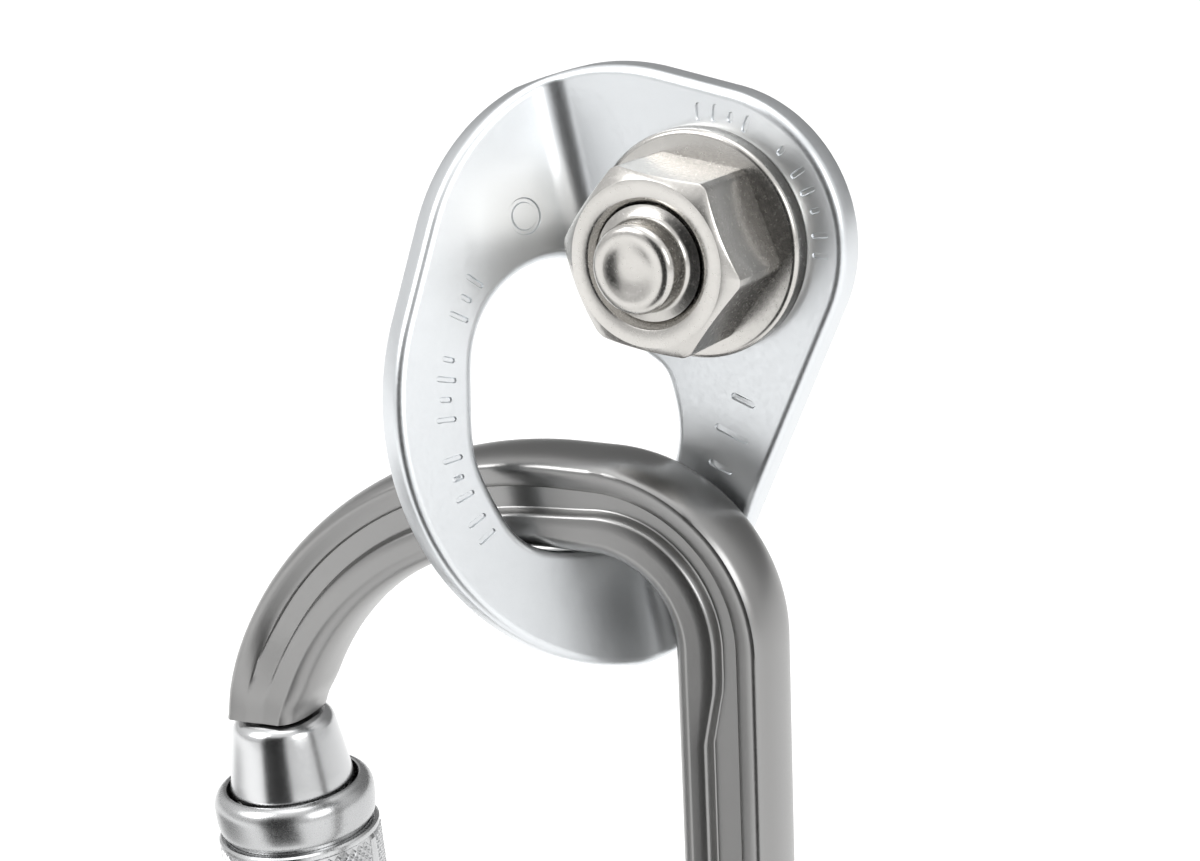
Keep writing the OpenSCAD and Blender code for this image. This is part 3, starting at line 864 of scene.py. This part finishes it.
# each soft lamp: name, place, size, watts
LAMPS = (("key_left", (-0.9, -1.1, 1.1), 0.9, 16.0), ("key_right", (1.5, -0.5, 0.7), 0.8, 9.0))


def look_at(obj, place, aim):
    """Set the object at a place, looking at another."""
    obj.location = place
    obj.rotation_euler = (Vector(aim) - obj.location).to_track_quat("-Z", "Y").to_euler()
    bpy.context.scene.collection.objects.link(obj)


class Studio:
    """Small node builders shared by the floor and the studio light."""

    def __init__(self, tree):
        self.tree = tree

    def math(self, op, *values):
        node = self.tree.nodes.new("ShaderNodeMath")
        node.operation = op
        for i, v in enumerate(values):
            if isinstance(v, (int, float)):
                node.inputs[i].default_value = v
            else:
                self.tree.links.new(v, node.inputs[i])
        return node.outputs[0]

    def step(self, value, a, b):
        """0 up to a, 1 from b on."""
        node = self.tree.nodes.new("ShaderNodeMapRange")
        node.interpolation_type = "SMOOTHSTEP"
        node.inputs["From Min"].default_value = a
        node.inputs["From Max"].default_value = b
        self.tree.links.new(value, node.inputs["Value"])
        return node.outputs["Result"]

    def distance(self, x, y):
        squares = [self.math("MULTIPLY", v, v) for v in (x, y)]
        return self.math("POWER", self.math("ADD", *squares), 0.5)

    def blend(self, share, value):
        """1 where share is 0, and the value where it is 1."""
        return self.math("MULTIPLY_ADD", share, value - 1.0, 1.0)

    def split(self, vector):
        node = self.tree.nodes.new("ShaderNodeSeparateXYZ")
        self.tree.links.new(vector, node.inputs[0])
        return node.outputs["X"], node.outputs["Y"], node.outputs["Z"]

    def around(self, x, y, a, b):
        """0 on the side between the soft boxes, 1 opposite, changing from a to b degrees off it."""
        azimuth = self.math("ARCTAN2", x, self.math("MULTIPLY", y, -1.0))
        off = self.math("ABSOLUTE", self.math("SUBTRACT", azimuth, radians(GAP_AZIMUTH)))
        off = self.math("MINIMUM", off, self.math("SUBTRACT", 2 * pi, off))
        return self.step(off, radians(a), radians(b))

    def plain_to_look_at(self, tone, plain):
        """The tone for light and reflections, and one plain tone where it is looked at directly."""
        direct = self.tree.nodes.new("ShaderNodeLightPath").outputs["Is Camera Ray"]
        return self.math("MULTIPLY_ADD", self.math("SUBTRACT", plain, tone), direct, tone)

    def wedge(self, x, y):
        """1 in the dark gap."""
        return self.math("SUBTRACT", 1.0, self.around(x, y, GAP_HALF, GAP_HALF + 9))


class ANCHOR_OT_stage(bpy.types.Operator):
    """Set the floor, the studio and the camera"""
    bl_idname = "anchor.stage"
    bl_label = "Stage"

    def execute(self, context):
        s = context.scene.anchor_stage
        self.floor(s)
        self.world(context.scene, s)
        for name, place, size, watts in LAMPS:
            lamp = bpy.data.lights.new(name, "AREA")
            lamp.energy = watts
            lamp.size = size
            look_at(bpy.data.objects.new(name, lamp), place, LAMP_AIM)
        cam = bpy.data.cameras.new("camera")
        cam.lens = s.lens
        cam.sensor_width = 36
        cam.clip_start = 0.01
        cam.clip_end = 100
        eye = bpy.data.objects.new("camera", cam)
        look_at(eye, CAMERA_PLACE, CAMERA_AIM)
        context.scene.camera = eye
        context.scene.view_settings.view_transform = "Standard"
        context.scene.view_settings.look = "None"
        return {"FINISHED"}

    def floor(self, s):
        # The floor's colour holds painted shade for reflections and light only: a dark wedge in front where the
        # studio's gap is, and a soft painted shadow beside the anchor. Looked at directly it is plain pale.
        mat = bpy.data.materials.new("pale_floor")
        tree, shade = nodes_of(mat)
        studio = Studio(tree)
        x, y, _ = studio.split(tree.nodes.new("ShaderNodeTexCoord").outputs["Object"])
        dark = studio.math("MULTIPLY", studio.wedge(x, y), studio.step(studio.distance(x, y), *GAP_NEAR))
        tone = studio.math("MULTIPLY_ADD", dark, s.gap - PALE, PALE)
        # painted shadow: the floor's colour darker round SHADE_PLACE
        away = studio.distance(*(studio.math("SUBTRACT", v, centre) for v, centre in zip((x, y), SHADE_PLACE)))
        lit = studio.math("MULTIPLY_ADD", studio.step(away, *SHADE_REACH), 1.0 - s.shade, s.shade)
        tone = studio.plain_to_look_at(studio.math("MULTIPLY", tone, lit), PALE)
        tint = tree.nodes.new("ShaderNodeCombineColor")
        for channel in tint.inputs[:3]:
            tree.links.new(tone, channel)
        tree.links.new(tint.outputs["Color"], shade.inputs["Base Color"])
        shade.inputs["Roughness"].default_value = 0.9
        shade.inputs["Specular IOR Level"].default_value = 0.1
        r, z = FLOOR_REACH, -s.floor_drop / MM
        put("floor", [(-r, -r, z), (r, -r, z), (r, r, z), (-r, r, z)], [(0, 1, 2, 3)], mat, smooth=False)

    def world(self, scene, s):
        """A white studio with the dark gap in front, a darker back wall and a brighter top."""
        world = bpy.data.worlds.new("studio")
        scene.world = world
        world.use_nodes = True
        tree = world.node_tree
        tree.nodes.clear()
        studio = Studio(tree)
        new, link = tree.nodes.new, tree.links.new
        out, light = new("ShaderNodeOutputWorld"), new("ShaderNodeBackground")
        link(light.outputs[0], out.inputs[0])
        x, y, z = studio.split(new("ShaderNodeTexCoord").outputs["Generated"])
        height = studio.math("ARCSINE", z)

        def above(a, b):
            return studio.step(height, radians(a), radians(b))
        gap = studio.math("MULTIPLY", studio.wedge(x, y), studio.math("SUBTRACT", 1.0, above(30, 46)))
        behind = studio.math("MULTIPLY", studio.around(x, y, 112, 150), studio.math("SUBTRACT", 1.0, above(35, 60)))
        tone = studio.math("MULTIPLY_ADD", above(-8, 60), 0.3, 0.8)
        tone = studio.math("MULTIPLY", tone, studio.blend(behind, s.behind))
        tone = studio.math("MULTIPLY", tone, studio.blend(gap, s.gap))
        tone = studio.plain_to_look_at(studio.math("MULTIPLY_ADD", above(58, 80), TOP_LIGHT, tone), WHITE)
        link(studio.math("MULTIPLY", tone, s.sky), light.inputs["Strength"])
        light.inputs["Color"].default_value = (1, 1, 1, 1)


# ---- add-on ----

class ANCHOR_PT_panel(bpy.types.Panel):
    """The anchor's builders in the sidebar"""
    bl_idname = "ANCHOR_PT_panel"
    bl_label = "Bolt Anchor"
    bl_space_type = "VIEW_3D"
    bl_region_type = "UI"
    bl_category = "Anchor"

    def draw(self, context):
        for group, op in (("anchor_plate", "anchor.plate"), ("anchor_bolt", "anchor.bolt"),
                          ("anchor_frame", "anchor.frame"), ("anchor_sleeve", "anchor.sleeve"),
                          (None, "anchor.gate"), (None, "anchor.small"), ("anchor_stage", "anchor.stage")):
            box = self.layout.box()
            if group:
                settings = getattr(context.scene, group)
                for key in settings.bl_rna.properties.keys():
                    if key not in ("rna_type", "name"):
                        box.prop(settings, key)
            box.operator(op)


GROUPS = {"anchor_plate": PlateSettings, "anchor_bolt": BoltSettings, "anchor_frame": FrameSettings,
          "anchor_sleeve": SleeveSettings, "anchor_stage": StageSettings}
CLASSES = (*GROUPS.values(), ANCHOR_OT_plate, ANCHOR_OT_bolt, ANCHOR_OT_frame, ANCHOR_OT_gate, ANCHOR_OT_sleeve,
           ANCHOR_OT_small, ANCHOR_OT_stage, ANCHOR_PT_panel)


def register():
    for cls in CLASSES:
        bpy.utils.register_class(cls)
    for name, cls in GROUPS.items():
        setattr(bpy.types.Scene, name, PointerProperty(type=cls))


def unregister():
    for name in GROUPS:
        delattr(bpy.types.Scene, name)
    for cls in reversed(CLASSES):
        bpy.utils.unregister_class(cls)


def main():
    register()
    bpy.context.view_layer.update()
    for build in (bpy.ops.anchor.stage, bpy.ops.anchor.plate, bpy.ops.anchor.bolt, bpy.ops.anchor.frame,
                  bpy.ops.anchor.gate, bpy.ops.anchor.sleeve, bpy.ops.anchor.small):
        build()


if __name__ == "__main__":
    main()
